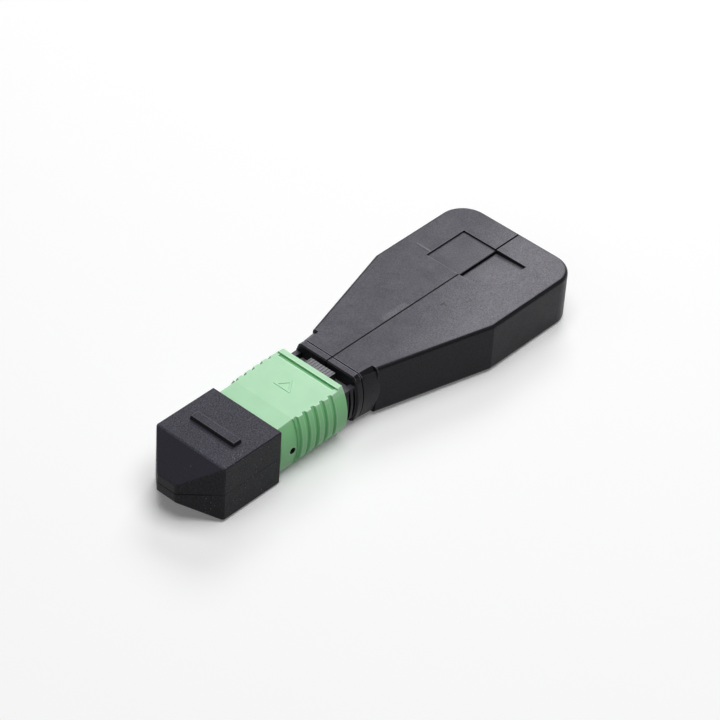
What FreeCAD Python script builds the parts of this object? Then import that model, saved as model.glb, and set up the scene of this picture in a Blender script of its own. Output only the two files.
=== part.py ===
# Loopback plug for twelve-fibre ribbon links: a pull-sleeve ribbon plug under a dust cap,
# carried by a flat two-part paddle that holds the looped fibres.
# Millimetres. Y runs along the plug, from the cap's tip at -Y to the paddle's far end at +Y.
# Z is up, X = 0 is the parting plane of the paddle. The origin is under the middle of the part.
import FreeCAD, Part
import math
import os

from FreeCAD import Vector

os.makedirs("parts", exist_ok=True)

# ---- Lengths along Y, one after another from the cap's tip
cap_tip_length = 4.0        # the four slanted facets
cap_body_length = 9.5
cap_to_sleeve = 0.1
sleeve_length = 11.4
sleeve_to_shell = 2.4       # room that the sleeve is pulled back into
band_length = 1.05
neck_length = 2.35
flare_length = 16.5
pad_length = 16.6

# ---- Dust cap
cap_width = 11.35
cap_height = 8.05
cap_tip_width = 3.05
cap_tip_height = 2.65
cap_edge = 0.12
cap_clearance = 0.05        # light friction fit on the plug's nose
cap_floor = 1.2             # from the ferrule's face to the end of the cap's pocket
cap_mouth_depth = 0.5
cap_mouth_relief = 0.25
grip_bar_length = 7.0
grip_bar_width = 1.15
grip_bar_height = 0.5
grip_bar_draft = 0.15       # the bar's foot is this much wider all round
grip_bar_place = 4.75       # from the cap's open end

# ---- Plug frame (the inner housing)
nose_width = 9.4
nose_height = 5.6
nose_length = 6.2           # how far the frame stands out of the sleeve
nose_edge = 0.25
frame_end = 0.6             # the frame ends this far inside the sleeve's rear edge
key_width = 2.6
key_height = 0.6
key_length = 4.6
key_setback = 0.8
latch_notch_length = 1.3
latch_notch_depth = 0.7
latch_notch_height = 3.4
latch_notch_place = 0.5     # in front of the sleeve
flange_room = 0.1           # all round the ferrule's flange
hook_window_length = 1.4
hook_window_height = 2.0
stop_nub_width = 3.0
stop_nub_length = 1.0
stop_nub_height = 0.35

# ---- Ferrule and what is behind it
ferrule_width = 6.4
ferrule_height = 2.5
ferrule_length = 8.0
ferrule_proud = 0.9         # ferrule face in front of the frame
ferrule_guide = 0.05        # clearance of the ferrule in the frame's front opening
flange_width = 7.0
flange_height = 3.0
flange_length = 2.0
guide_hole_radius = 0.35
guide_hole_pitch = 4.6
ferrule_window_width = 3.1
ferrule_window_length = 1.6
ferrule_window_place = 3.4  # from the ferrule's face
fibre_count = 12
fibre_pitch = 0.25
fibre_radius = 0.115
ribbon_thickness = 0.32
ribbon_edge = 0.1
ribbon_play = 0.02
boot_width = 3.6
boot_height = 1.4
boot_chamfer = 0.3
boot_in_ferrule = 2.6
boot_behind_spacer = 0.6
spacer_length = 1.6
spacer_notch_radius = 0.6
ferrule_spring_length = 5.0
ferrule_spring_width = 5.9
ferrule_spring_height = 2.9
ferrule_spring_wire = 0.45
ferrule_spring_turns = 5
spring_seat_gap = 0.02

# ---- Spring push (the rear body that closes the frame)
push_clearance = 0.05
push_channel_width = 3.9
push_channel_height = 1.5
push_plate_height = 3.4
hook_ramp = 1.0
grip_block_width = 4.0
grip_block_height = 3.1     # top of the ribbed block above the plug's axis
grip_block_setback = 0.5    # in front of the band
grip_groove_count = 9
grip_groove_width = 0.12
grip_groove_depth = 0.05
barrel_radius = 2.0
barrel_length = 6.4
barrel_flange_radius = 2.7
barrel_flange_length = 1.2
barrel_flange_place = 2.3   # behind the band's front edge

# ---- Coupling sleeve
sleeve_height = 7.7
sleeve_lip_height = 8.1
sleeve_lip_length = 0.95
rear_wall = 1.375           # from the nose's side to the outside, at mid-height of the rear edge
rib_wall = 1.525            # over the rearmost ribs, which stand out most
waist_wall = 1.25           # over the foremost rib
front_wall = 0.95
rear_brim = 0.15            # the flat top reaches this far past the nose's side, at the rear edge
rib_brim = 0.35
waist_brim = 0.2
front_brim = 0.05
tail_inset = 0.3            # the flat roof inside the rear opening is this much narrower, each side
keel_inset = 0.1            # and so is the flat underside between its two bevelled corners
keel_wall = 0.95            # the bevels end at this wall
keel_rise = 1.65
sleeve_front_height = 7.5   # the front panel slopes down to this
lip_groove_width = 0.45
lip_groove_depth = 0.15
lip_groove_margin = 0.35    # the groove stops this far inside the flat top
sleeve_clearance = 0.06
sleeve_travel = 1.8
sleeve_wall = 0.6
sleeve_end_edge = 0.15      # bevel round the front and the rear rim
rib_zone_start = 2.75       # from the sleeve's front
front_panel_step = 0.2      # the front panel lies this far below the ribs
rib_count = 5
rib_pitch = 1.45
rib_groove_width = 0.74      # across the top of a groove
rib_groove_floor = 0.42
rib_groove_depth = 0.35
pull_hole_radius = 0.45
pull_hole_place = 2.0       # from the sleeve's front
pull_hole_rise = -0.15      # above the plug's axis
tail_room = 0.2             # left in front of the ears when the sleeve is pulled back

# ---- Coupling springs, one in each side
side_spring_radius = 0.6
side_spring_wire = 0.22
side_spring_turns = 7
side_chamber_wall = 0.3     # left between a spring and the ferrule's room
side_chamber_radius = 0.7
side_chamber_length = 6.2
side_chamber_place = 1.5    # from the sleeve's front

# ---- Paddle shells
pad_width = 19.85
shell_height = 7.1
shell_wall = 1.4
shell_edge = 0.5
pad_corner = 3.7
flare_width = 10.8          # across the flare where it leaves the neck
neck_side = 10.8            # across the neck at mid-height, at the band
neck_side_rear = 11.1       # and where the flare starts
neck_top_front = 9.2
neck_top_rear = 10.2
neck_edges = (0.28, 0.35, 0.6)    # chamfer at the band, behind its groove, and at the flare
band_front_edge = 0.15
band_groove_width = 0.16
band_groove_depth = 0.3
ear_length = 2.6
ear_height = 4.8
ear_room = 0.275            # between an ear's side and the sleeve's wall
ear_thickness = 1.1
lens_slot_width = 0.35
lens_slot_depth = 0.35
lens_slot_places = (0.2, 1.0)  # in front of the band
recess_near = 4.55          # from the knee to the near edge of the two recesses
recess_length = 7.3
recess_left_width = 5.45
recess_right_width = 5.0
recess_left_depths = (0.22, 0.24)    # at the outer edge, at the parting plane
recess_right_depths = (0.42, 0.6)
seam_width = 0.12           # the fine groove along the parting line
seam_far_width = 0.2        # the same groove between the recesses and the far end
seam_depth = 0.12
peg_radius = 0.4
peg_length = 1.4
peg_clearance = 0.05
fit_gap = 0.02              # between faces that are pushed together

# ---- Fibre loops
loop_radius = 7.4           # the outermost loop
loop_step = 0.42
loop_lead_radius = 9.0
loop_end_clearance = 1.6
ribbon_end = 4.0            # the ribbon is split into single fibres this far behind the flare's start

# ---- Places along Y that follow from the lengths
part_length = (cap_tip_length + cap_body_length + cap_to_sleeve + sleeve_length
               + sleeve_to_shell + band_length + neck_length + flare_length + pad_length)
y_tip = -part_length / 2
y_cap_shoulder = y_tip + cap_tip_length
y_cap_open = y_cap_shoulder + cap_body_length
y_sleeve = y_cap_open + cap_to_sleeve
y_sleeve_rear = y_sleeve + sleeve_length
y_band = y_sleeve_rear + sleeve_to_shell
y_neck = y_band + band_length
y_flare = y_neck + neck_length
y_knee = y_flare + flare_length
y_end = y_knee + pad_length
y_nose = y_sleeve - nose_length
y_frame_end = y_sleeve_rear - frame_end
y_face = y_nose - ferrule_proud
y_ferrule_rear = y_face + ferrule_length
y_flange = y_ferrule_rear - flange_length
y_spacer_rear = y_ferrule_rear + spacer_length
y_push = y_spacer_rear + ferrule_spring_length
y_chamber = y_sleeve + side_chamber_place
mid_height = sleeve_lip_height / 2      # the plug's axis above the surface that it lies on
cavity_width = flange_width + 2 * flange_room
cavity_height = flange_height + 2 * flange_room
side_spring_offset = cavity_width / 2 + side_chamber_wall + side_chamber_radius

# ---- Widths of the sleeve, which passes over the nose and the side springs
sleeve_core = 2 * max(nose_width / 2, side_spring_offset + side_chamber_radius - sleeve_wall)
sleeve_rear_side = sleeve_core + 2 * rear_wall
sleeve_rear_top = sleeve_core + 2 * rear_brim
sleeve_rib_side = sleeve_core + 2 * rib_wall
sleeve_rib_top = sleeve_core + 2 * rib_brim
sleeve_waist_side = sleeve_core + 2 * waist_wall
sleeve_waist_top = sleeve_core + 2 * waist_brim
sleeve_front_side = sleeve_core + 2 * front_wall
sleeve_front_top = sleeve_core + 2 * front_brim
sleeve_tail_top = sleeve_core - 2 * tail_inset
ear_side = sleeve_rear_side - 2 * (sleeve_wall + ear_room)


def block(width, y_from, y_to, height, x=0.0, z=0.0):
    """Box centred on x and z, between two places along Y."""
    corner = Vector(x - width / 2, y_from, z - height / 2)
    return Part.makeBox(width, y_to - y_from, height, corner)


def slab(x_from, x_to, y_from, y_to, z_from, z_to):
    """Box between two corners."""
    return Part.makeBox(x_to - x_from, y_to - y_from, z_to - z_from, Vector(x_from, y_from, z_from))


def rod(radius, y_from, y_to, x=0.0, z=0.0):
    """Cylinder along Y."""
    return Part.makeCylinder(radius, y_to - y_from, Vector(x, y_from, z), Vector(0, 1, 0))


def rectangle(width, y_from, y_to, z):
    """Level outline centred on x."""
    corners = [(-width / 2, y_from), (width / 2, y_from), (width / 2, y_to), (-width / 2, y_to)]
    return Part.makePolygon([Vector(x, y, z) for x, y in corners + corners[:1]])


def barrel_outline(y, side, top, height, edge=0.0):
    """Cross-section with a flat top and bottom, convex sides and, if asked, chamfered corners."""
    s, t, h = side / 2, top / 2, height / 2
    low = h - edge
    arc_centre = (s ** 2 - t ** 2 - h ** 2) / (2 * (s - t))
    shoulder = arc_centre + math.sqrt((s - arc_centre) ** 2 - low ** 2)
    flat = t - edge
    edges = []
    for turn in (1, -1):
        top_start, top_end = Vector(-turn * flat, y, turn * h), Vector(turn * flat, y, turn * h)
        arc_start = Vector(turn * shoulder, y, turn * low)
        arc_end = Vector(turn * shoulder, y, -turn * low)
        edges.append(Part.LineSegment(top_start, top_end).toShape())
        if edge:
            edges.append(Part.LineSegment(top_end, arc_start).toShape())
        edges.append(Part.Arc(arc_start, Vector(turn * s, y, 0), arc_end).toShape())
        if edge:
            edges.append(Part.LineSegment(arc_end, Vector(turn * flat, y, -turn * h)).toShape())
    return Part.Wire(edges)


def barrel_body(sections):
    """Solid through cross-sections given as (y, side, top, height) and perhaps a corner chamfer."""
    return Part.makeLoft([barrel_outline(*section) for section in sections], True, True)


def shrunk(section, inset):
    """The same cross-section, smaller all round."""
    y, side, top, height = section[:4]
    return (y, side - 2 * inset, top - 2 * inset, height - 2 * inset, *section[4:])


def edges_along(shape, direction, keep=lambda middle: True):
    """The straight edges of a shape that run along one direction and pass a test on their middle."""
    found = []
    for edge in shape.Edges:
        run = edge.Vertexes[-1].Point - edge.Vertexes[0].Point
        if run.Length < 1e-6 or abs(abs(run.normalize().dot(direction)) - 1) > 1e-6:
            continue
        middle = edge.BoundBox.Center
        if keep(middle):
            found.append(edge)
    return found


def tube_through(points, radius, sides, normal=Vector(0, 0, 1)):
    """Closed solid with a many-sided section along a list of points that stays across the normal."""
    rings = []
    for i, point in enumerate(points):
        before = points[max(i - 1, 0)]
        after = points[min(i + 1, len(points) - 1)]
        along = (after - before).normalize()
        across = along.cross(normal).normalize()
        upward = across.cross(along)
        turns = [2 * math.pi * k / sides for k in range(sides)]
        rings.append([point + across * (radius * math.cos(a)) + upward * (radius * math.sin(a))
                      for a in turns])
    faces = []
    for ring, following in zip(rings, rings[1:]):
        for k in range(sides):
            m = (k + 1) % sides
            faces.append([ring[k], ring[m], following[m], ring[k]])
            faces.append([ring[k], following[m], following[k], ring[k]])
    faces.append(rings[0] + rings[0][:1])
    faces.append(rings[-1] + rings[-1][:1])
    solid = Part.Solid(Part.Shell([Part.Face(Part.makePolygon(corners)) for corners in faces]))
    if solid.Volume < 0:
        solid.reverse()
    return solid


def arc_points(centre, radius, start, end, count):
    """Points along an arc in the XY plane, between two angles in radians."""
    angles = [start + (end - start) * i / count for i in range(count + 1)]
    return [centre + Vector(radius * math.cos(a), radius * math.sin(a), 0) for a in angles]


def coil_spring(width, height, wire, turns, y_from, y_to, points_per_turn, sides, x=0.0):
    """Compression spring along Y with one closed turn at each end; width and height are outside sizes."""
    a = (width - wire) / 2
    b = (height - wire) / 2
    first = y_from + wire / 2
    last = y_to - wire / 2
    closed = wire * 1.1         # rise of a closed end turn
    points = []
    for i in range(turns * points_per_turn + 1):
        t = i / points_per_turn
        if t < 1:
            rise = closed * t
        elif t > turns - 1:
            rise = (last - first) - closed * (turns - t)
        else:
            rise = closed + (last - first - 2 * closed) * (t - 1) / (turns - 2)
        angle = 2 * math.pi * t
        points.append(Vector(x + a * math.cos(angle), first + rise, b * math.sin(angle)))
    return tube_through(points, wire / 2, sides, normal=Vector(0, 1, 0))


def save(name, shape):
    """Write one piece, lifted from the plug's axis to the surface that the part lies on."""
    piece = shape.copy()
    piece.translate(Vector(0, 0, mid_height))
    solids = len(piece.Solids)
    if not piece.isValid():
        print("NOT VALID", name)
    piece.exportStep("parts/" + name + ".step")
    print(name, "solids", solids, "volume", round(piece.Volume, 3))


# ---- Dust cap: a moulded hood with a facetted tip, and a grip bar on its upper face
def bevelled_body(sections, edge):
    """Flat-faced solid through rectangles given as (y, width, height), bevelled along its length."""
    rings = []
    for y, width, height in sections:
        x, z = width / 2, height / 2
        corners = [(x - edge, z), (x, z - edge), (x, edge - z), (x - edge, -z)]
        corners += [(-a, -b) for a, b in corners]
        rings.append([Vector(a, y, b) for a, b in corners])
    outlines = [rings[0], rings[-1]]
    for ring, following in zip(rings, rings[1:]):
        for i, corner in enumerate(ring):
            j = (i + 1) % len(ring)
            outlines.append([corner, ring[j], following[j], following[i]])
    faces = [Part.Face(Part.makePolygon(outline + outline[:1])) for outline in outlines]
    solid = Part.Solid(Part.Shell(faces))
    if solid.Volume < 0:
        solid.reverse()
    return solid


def cap_outside():
    def tip_section(share, inset=0.0):
        """The rectangle at a share of the way from the shoulder to the tip."""
        return (y_cap_shoulder - share * cap_tip_length,
                cap_width + share * (cap_tip_width - cap_width) - 2 * inset,
                cap_height + share * (cap_tip_height - cap_height) - 2 * inset)
    bevel = cap_edge / cap_tip_length
    return bevelled_body([
        (y_cap_open, cap_width, cap_height),
        (y_cap_shoulder + cap_edge, cap_width, cap_height),
        tip_section(bevel),
        tip_section(1 - bevel),
        tip_section(1, cap_edge)], cap_edge)


def dust_cap():
    y_bar = y_cap_open - grip_bar_place
    foot = rectangle(grip_bar_length + 2 * grip_bar_draft, y_bar - grip_bar_width - grip_bar_draft,
                     y_bar + grip_bar_draft, cap_height / 2 - cap_edge)
    crest = rectangle(grip_bar_length, y_bar - grip_bar_width, y_bar, cap_height / 2 + grip_bar_height)
    body = cap_outside().fuse(Part.makeLoft([foot, crest], True, True))

    nose_pocket = block(nose_width + 2 * cap_clearance, y_nose - fit_gap, y_cap_open + 1,
                        nose_height + 2 * cap_clearance)
    key_pocket = slab(-key_width / 2 - cap_clearance, key_width / 2 + cap_clearance,
                      y_nose - fit_gap, y_cap_open + 1, 0, nose_height / 2 + key_height + cap_clearance)
    ferrule_pocket = block(ferrule_width + 6 * cap_clearance, y_face - cap_floor, y_nose,
                           ferrule_height + 6 * cap_clearance)
    mouth = block(nose_width + 2 * cap_mouth_relief, y_cap_open - cap_mouth_depth, y_cap_open + 1,
                  nose_height + 2 * cap_mouth_relief)
    return body.cut([nose_pocket, key_pocket, ferrule_pocket, mouth])


# ---- Plug frame: rectangular nose with its key, the ferrule's guide, spring grooves and stop nubs
def plug_frame():
    body = block(nose_width, y_nose, y_frame_end, nose_height)
    body = body.makeFillet(nose_edge, edges_along(body, Vector(0, 1, 0)))
    y_key = y_nose + key_setback
    key = slab(-key_width / 2, key_width / 2, y_key, y_key + key_length,
               nose_height / 2 - nose_edge, nose_height / 2 + key_height)
    y_nub = y_stop_nub()
    nubs = [slab(-stop_nub_width / 2, stop_nub_width / 2, y_nub, y_nub + stop_nub_length,
                 side * nose_height / 2 - (stop_nub_height if side < 0 else nose_edge),
                 side * nose_height / 2 + (stop_nub_height if side > 0 else nose_edge))
            for side in (1, -1)]
    body = body.fuse([key] + nubs)

    guide = block(ferrule_width + 2 * ferrule_guide, y_nose - 1, y_flange + 1,
                  ferrule_height + 2 * ferrule_guide)
    cavity = block(cavity_width, y_flange - fit_gap, y_frame_end + 1, cavity_height)
    cuts = [guide, cavity]
    y_notch = y_sleeve - latch_notch_place
    y_hook = y_hook_window()
    for side in (-1, 1):
        cuts.append(block(2 * latch_notch_depth, y_notch - latch_notch_length, y_notch,
                          latch_notch_height, x=side * nose_width / 2))
        cuts.append(block(nose_width - cavity_width + 1, y_hook, y_hook + hook_window_length,
                          hook_window_height, x=side * (nose_width + 1) / 2))
        cuts.append(rod(side_chamber_radius, y_chamber, y_chamber + side_chamber_length,
                        x=side * side_spring_offset))
    return body.cut(cuts)


def y_stop_nub():
    """Front of the stop nubs: behind the side spring chambers' start, under the sleeve's top wall."""
    return y_chamber + side_chamber_length / 2


def y_hook_window():
    """Front of the windows that the spring push's hooks snap into."""
    return y_frame_end - 1.0 - hook_window_length


# ---- Ferrule: rectangular precision moulding with two guide holes, a rear flange and a top window
def ferrule():
    body = block(ferrule_width, y_face, y_ferrule_rear, ferrule_height)
    body = body.fuse(block(flange_width, y_flange, y_ferrule_rear, flange_height)).removeSplitter()
    cuts = [rod(guide_hole_radius, y_face - 1, y_ferrule_rear + 1, x=side * guide_hole_pitch / 2)
            for side in (-1, 1)]
    cuts.append(block(boot_width, y_ferrule_rear - boot_in_ferrule, y_ferrule_rear + 1, boot_height))
    cuts.append(block(ribbon_width() + 2 * ribbon_play, y_face + ferrule_window_place,
                      y_ferrule_rear, ribbon_thickness + 2 * ribbon_play))
    cuts.append(ferrule_window(ferrule_height / 2 + 1))
    return body.cut(cuts)


def ferrule_window(top):
    y = y_face + ferrule_window_place
    return slab(-ferrule_window_width / 2, ferrule_window_width / 2, y, y + ferrule_window_length,
                ribbon_thickness / 2 + ribbon_play, top)


def ribbon_width():
    return fibre_count * fibre_pitch + ribbon_edge


# ---- Potting that fills the ferrule's window over the fibres
def ferrule_potting():
    return ferrule_window(ferrule_height / 2 - ribbon_edge)


def ribbon_slot(y_from, y_to):
    return block(ribbon_width() + 2 * ribbon_play, y_from, y_to, ribbon_thickness + 2 * ribbon_play)


# ---- Ferrule boot: soft plug round the ribbon where it enters the ferrule
def ferrule_boot():
    y_from = y_ferrule_rear - boot_in_ferrule
    y_to = y_spacer_rear + boot_behind_spacer
    body = block(boot_width, y_from, y_to, boot_height)
    body = body.makeChamfer(boot_chamfer, edges_along(body, Vector(0, 1, 0)))
    return body.cut(ribbon_slot(y_from - 1, y_to + 1))


# ---- Pin spacer: plate between the ferrule and its spring, notched where guide pins would end
def pin_spacer():
    body = block(flange_width, y_ferrule_rear, y_spacer_rear, flange_height)
    notches = [rod(spacer_notch_radius, y_ferrule_rear - 1, y_ferrule_rear + spacer_length / 2,
                   x=side * guide_hole_pitch / 2) for side in (-1, 1)]
    hole = block(boot_width, y_ferrule_rear - 1, y_spacer_rear + 1, boot_height)
    return body.cut(notches + [hole])


# ---- Ferrule spring: flattened coil that passes round the ribbon
def ferrule_spring():
    return coil_spring(ferrule_spring_width, ferrule_spring_height, ferrule_spring_wire,
                       ferrule_spring_turns, y_spacer_rear + spring_seat_gap,
                       y_push - spring_seat_gap, points_per_turn=16, sides=5)


# ---- Spring push: closes the frame, seats the spring, snaps in by two hooks, carries the barrel
def push_plate_width():
    """The plate passes between the paddle's ears."""
    return ear_side - 2 * (ear_thickness + fit_gap)


def spring_push():
    front = block(cavity_width - 2 * push_clearance, y_push, y_frame_end,
                  cavity_height - 2 * push_clearance)
    plate = block(push_plate_width(), y_frame_end, y_band, push_plate_height)
    plate = plate.makeFillet(nose_edge, edges_along(plate, Vector(0, 1, 0)))
    grip = block(grip_block_width, y_frame_end, y_band - grip_block_setback, grip_block_height,
                 z=grip_block_height / 2)
    barrel = rod(barrel_radius, y_band, y_band + barrel_length)
    y_flange_ring = y_band + barrel_flange_place
    ring = rod(barrel_flange_radius, y_flange_ring, y_flange_ring + barrel_flange_length)
    y_hook = y_hook_window()
    hook_height = hook_window_height - 2 * push_clearance
    y_catch = y_hook + hook_window_length - push_clearance
    hooks = []
    for side in (-1, 1):
        root = side * (cavity_width / 2 - push_clearance)
        crest = side * (nose_width / 2 - push_clearance)
        corners = [Vector(root, y_hook + push_clearance, -hook_height / 2),
                   Vector(crest, y_hook + hook_ramp, -hook_height / 2),
                   Vector(crest, y_catch, -hook_height / 2),
                   Vector(root, y_catch, -hook_height / 2)]
        wedge = Part.Face(Part.makePolygon(corners + corners[:1]))
        hooks.append(wedge.extrude(Vector(0, 0, hook_height)))
    body = front.fuse([plate, grip, barrel, ring] + hooks).removeSplitter()

    channel = block(push_channel_width, y_push - 1, y_band + barrel_length + 1, push_channel_height)
    pitch = grip_block_width / grip_groove_count
    grooves = [block(grip_groove_width, y_frame_end, y_band, 2 * grip_groove_depth,
                     x=-grip_block_width / 2 + pitch * (i + 0.5), z=grip_block_height)
               for i in range(grip_groove_count)]
    return body.cut([channel] + grooves)


# ---- Coupling sleeve: the pull sleeve that frees the plug, ribbed on both sides
def sleeve_outside():
    y_ribs = y_sleeve + rib_zone_start
    y_lip = y_sleeve_rear - sleeve_lip_length
    rim = sleeve_end_edge
    front_end = (y_sleeve, sleeve_front_side, sleeve_front_top, sleeve_front_height)
    rear_end = (y_sleeve_rear, sleeve_rear_side, sleeve_rear_top, sleeve_lip_height)
    front = barrel_body([
        shrunk(front_end, rim),
        (y_sleeve + rim, *front_end[1:]),
        (y_ribs, sleeve_waist_side - 2 * front_panel_step, sleeve_waist_top - 2 * front_panel_step,
         sleeve_height)])
    ribbed = barrel_body([
        rib_section(y_ribs),
        rib_section(y_last_rib()),
        (y_sleeve_rear - rim, *rear_end[1:]),
        shrunk(rear_end, rim)])
    groove_end = sleeve_rear_top / 2 - lip_groove_margin
    floor = sleeve_height / 2 - lip_groove_depth
    cuts = []
    for side in (-1, 1):
        cuts.append(slab(-sleeve_rib_side, sleeve_rib_side, y_sleeve - 1, y_lip,
                         *sorted((side * sleeve_height / 2, side * sleeve_height))))
        cuts.append(slab(-groove_end, groove_end, y_lip - lip_groove_width, y_lip,
                         *sorted((side * floor, side * sleeve_height))))
    return front.fuse(ribbed).cut(cuts + keel_bevels())


def y_last_rib():
    return y_sleeve + rib_zone_start + (rib_count - 1) * rib_pitch


def rib_section(y):
    """The ribbed part widens evenly from its front to the last rib."""
    share = (y - y_sleeve - rib_zone_start) / ((rib_count - 1) * rib_pitch)
    return (y, sleeve_waist_side + share * (sleeve_rib_side - sleeve_waist_side),
            sleeve_waist_top + share * (sleeve_rib_top - sleeve_waist_top), sleeve_lip_height)


def keel_bevels():
    """Wedges that bevel the sleeve's two lower corners from end to end."""
    half = sleeve_core / 2 - keel_inset
    side_half = sleeve_core / 2 + keel_wall
    bottom = -sleeve_height / 2
    lean = (side_half - half) / keel_rise
    wedges = []
    for side in (-1, 1):
        corners = [(half - lean, bottom - 1), (side_half + lean, bottom + keel_rise + 1),
                   (side_half + lean + 2, bottom - 1)]
        points = [Vector(side * x, y_sleeve - 1, z) for x, z in corners]
        wedge = Part.Face(Part.makePolygon(points + points[:1]))
        wedges.append(wedge.extrude(Vector(0, sleeve_length + 2, 0)))
    return wedges


def rib_grooves():
    """Both sides' grooves: slices round the sleeve, less a waisted core that slopes their flanks."""
    cutters = []
    slope = (rib_groove_width - rib_groove_floor) / 2
    for i in range(rib_count):
        y = y_sleeve + rib_zone_start + i * rib_pitch
        y_from, y_to = y - slope, y + rib_groove_width + slope
        ring = block(sleeve_rib_side + 4, y_from, y_to, sleeve_lip_height + 4)
        waist = [(y_from, -rib_groove_depth), (y + slope, rib_groove_depth),
                 (y + rib_groove_width - slope, rib_groove_depth), (y_to, -rib_groove_depth)]
        core = barrel_body([(place, rib_section(place)[1] - 2 * depth,
                             rib_section(place)[2] - 2 * depth, sleeve_lip_height)
                            for place, depth in waist])
        flats = block(sleeve_rib_top - 2 * rib_groove_depth, y - 1, y + rib_groove_width + 1,
                      sleeve_lip_height + 6)
        cutters.append(ring.cut([core, flats]))
    return cutters


def coupling_sleeve():
    body = sleeve_outside().cut(rib_grooves())
    bore_width = nose_width + 2 * sleeve_clearance
    bore_height = nose_height + 2 * sleeve_clearance
    bore = block(bore_width, y_sleeve - 1, y_sleeve_rear + 1, bore_height)
    y_nub = y_stop_nub()
    key_slot = slab(-key_width / 2 - sleeve_clearance, key_width / 2 + sleeve_clearance,
                    y_sleeve - 1, y_nub - sleeve_travel,
                    0, nose_height / 2 + key_height + sleeve_clearance)
    nub_pocket = block(stop_nub_width + 2 * sleeve_clearance,
                       y_nub - sleeve_travel - sleeve_clearance,
                       y_nub + stop_nub_length + sleeve_clearance,
                       nose_height + 2 * (stop_nub_height + sleeve_clearance))
    y_tail = min(y_frame_end, y_band - ear_length) - tail_room - sleeve_travel
    tail = barrel_body([
        (y, sleeve_rear_side - 2 * sleeve_wall, sleeve_tail_top,
         sleeve_lip_height - 2 * sleeve_wall) for y in (y_tail, y_sleeve_rear + 1)])
    cuts = [bore, key_slot, nub_pocket, tail]
    y_hole = y_sleeve + pull_hole_place
    for side in (-1, 1):
        cuts.append(rod(side_chamber_radius, y_chamber, y_chamber + side_chamber_length,
                        x=side * side_spring_offset))
        cuts.append(Part.makeCylinder(pull_hole_radius, sleeve_rib_side / 2,
                                      Vector(side * nose_width / 2, y_hole, pull_hole_rise),
                                      Vector(side, 0, 0)))
    return body.cut(cuts)


# ---- Coupling springs: one lies in each side, half in the frame and half in the sleeve
def coupling_spring(side):
    return coil_spring(2 * side_spring_radius, 2 * side_spring_radius, side_spring_wire,
                       side_spring_turns, y_chamber + spring_seat_gap,
                       y_chamber + side_chamber_length - spring_seat_gap,
                       x=side * side_spring_offset, points_per_turn=10, sides=4)


# ---- Paddle: outline, hollow and details shared by its two shells
def paddle_outline(inset):
    """Top view of the flare and the pad, moved in by a wall."""
    slope = (pad_width - flare_width) / 2 / flare_length
    half_near = flare_width / 2 - inset * math.hypot(1, slope) + (slope * inset if inset else 0)
    half_far = pad_width / 2 - inset
    y_turn = y_knee + inset * (math.hypot(1, slope) - 1) / slope if inset else y_knee
    corner = max(pad_corner - inset, 0.3)
    y_near = y_flare + inset
    y_far = y_end - inset
    k = corner * (1 - math.sqrt(0.5))
    edges = []
    right = [Vector(half_near, y_near, 0), Vector(half_far, y_turn, 0),
             Vector(half_far, y_far - corner, 0)]
    left = [Vector(-p.x, p.y, 0) for p in right]
    edges.append(Part.LineSegment(left[0], right[0]).toShape())
    edges.append(Part.LineSegment(right[0], right[1]).toShape())
    edges.append(Part.LineSegment(right[1], right[2]).toShape())
    edges.append(Part.Arc(right[2], Vector(half_far - k, y_far - k, 0),
                          Vector(half_far - corner, y_far, 0)).toShape())
    edges.append(Part.LineSegment(Vector(half_far - corner, y_far, 0),
                                  Vector(corner - half_far, y_far, 0)).toShape())
    edges.append(Part.Arc(Vector(corner - half_far, y_far, 0), Vector(k - half_far, y_far - k, 0),
                          left[2]).toShape())
    edges.append(Part.LineSegment(left[2], left[1]).toShape())
    edges.append(Part.LineSegment(left[1], left[0]).toShape())
    return Part.Face(Part.Wire(edges))


def paddle_plate(inset, height):
    face = paddle_outline(inset)
    face.translate(Vector(0, 0, -height / 2))
    return face.extrude(Vector(0, 0, height))


def paddle_outside():
    plate = paddle_plate(0, shell_height)
    rims = [e for e in plate.Edges if abs(abs(e.BoundBox.Center.z) - shell_height / 2) < 1e-6
            and e.BoundBox.Center.y > y_flare + 1e-3]
    plate = plate.makeFillet(shell_edge, rims)
    at_band, behind_band, at_flare = neck_edges
    front = (y_band, neck_side, neck_top_front, shell_height, at_band)
    neck = barrel_body([
        shrunk(front, band_front_edge),
        (y_band + band_front_edge, *front[1:]),
        (y_neck, neck_side, neck_top_front, shell_height, behind_band),
        (y_flare + shell_edge, neck_side_rear, neck_top_rear, shell_height, at_flare)])
    core = barrel_body([(y, neck_side - 2 * band_groove_depth, neck_top_front - 2 * band_groove_depth,
                         shell_height - 2 * band_groove_depth)
                        for y in (y_neck - 1, y_neck + 1)])
    groove = block(neck_side + 4, y_neck - band_groove_width / 2, y_neck + band_groove_width / 2,
                   shell_height + 4).cut(core)
    body = plate.fuse(neck).cut(groove)
    return body.fuse([ear(side) for side in (-1, 1)])


def ear(side):
    """Side ear that reaches forward from the band into the sleeve's rear opening."""
    y_from = y_band - ear_length
    body = barrel_body([(y, ear_side, neck_top_front - (neck_side - ear_side), shell_height)
                        for y in (y_from, y_band + band_length / 2)])
    keep_from = ear_side / 2 - ear_thickness
    keep = slab(*sorted((side * keep_from, side * ear_side)), y_from, y_band + band_length / 2,
                -ear_height / 2, ear_height / 2)
    body = body.common(keep)
    floor = ear_side / 2 - lens_slot_depth
    slots = [slab(*sorted((side * floor, side * ear_side)), y_band - place - lens_slot_width,
                  y_band - place, -ear_height, ear_height) for place in lens_slot_places]
    return body.cut(slots)


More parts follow.
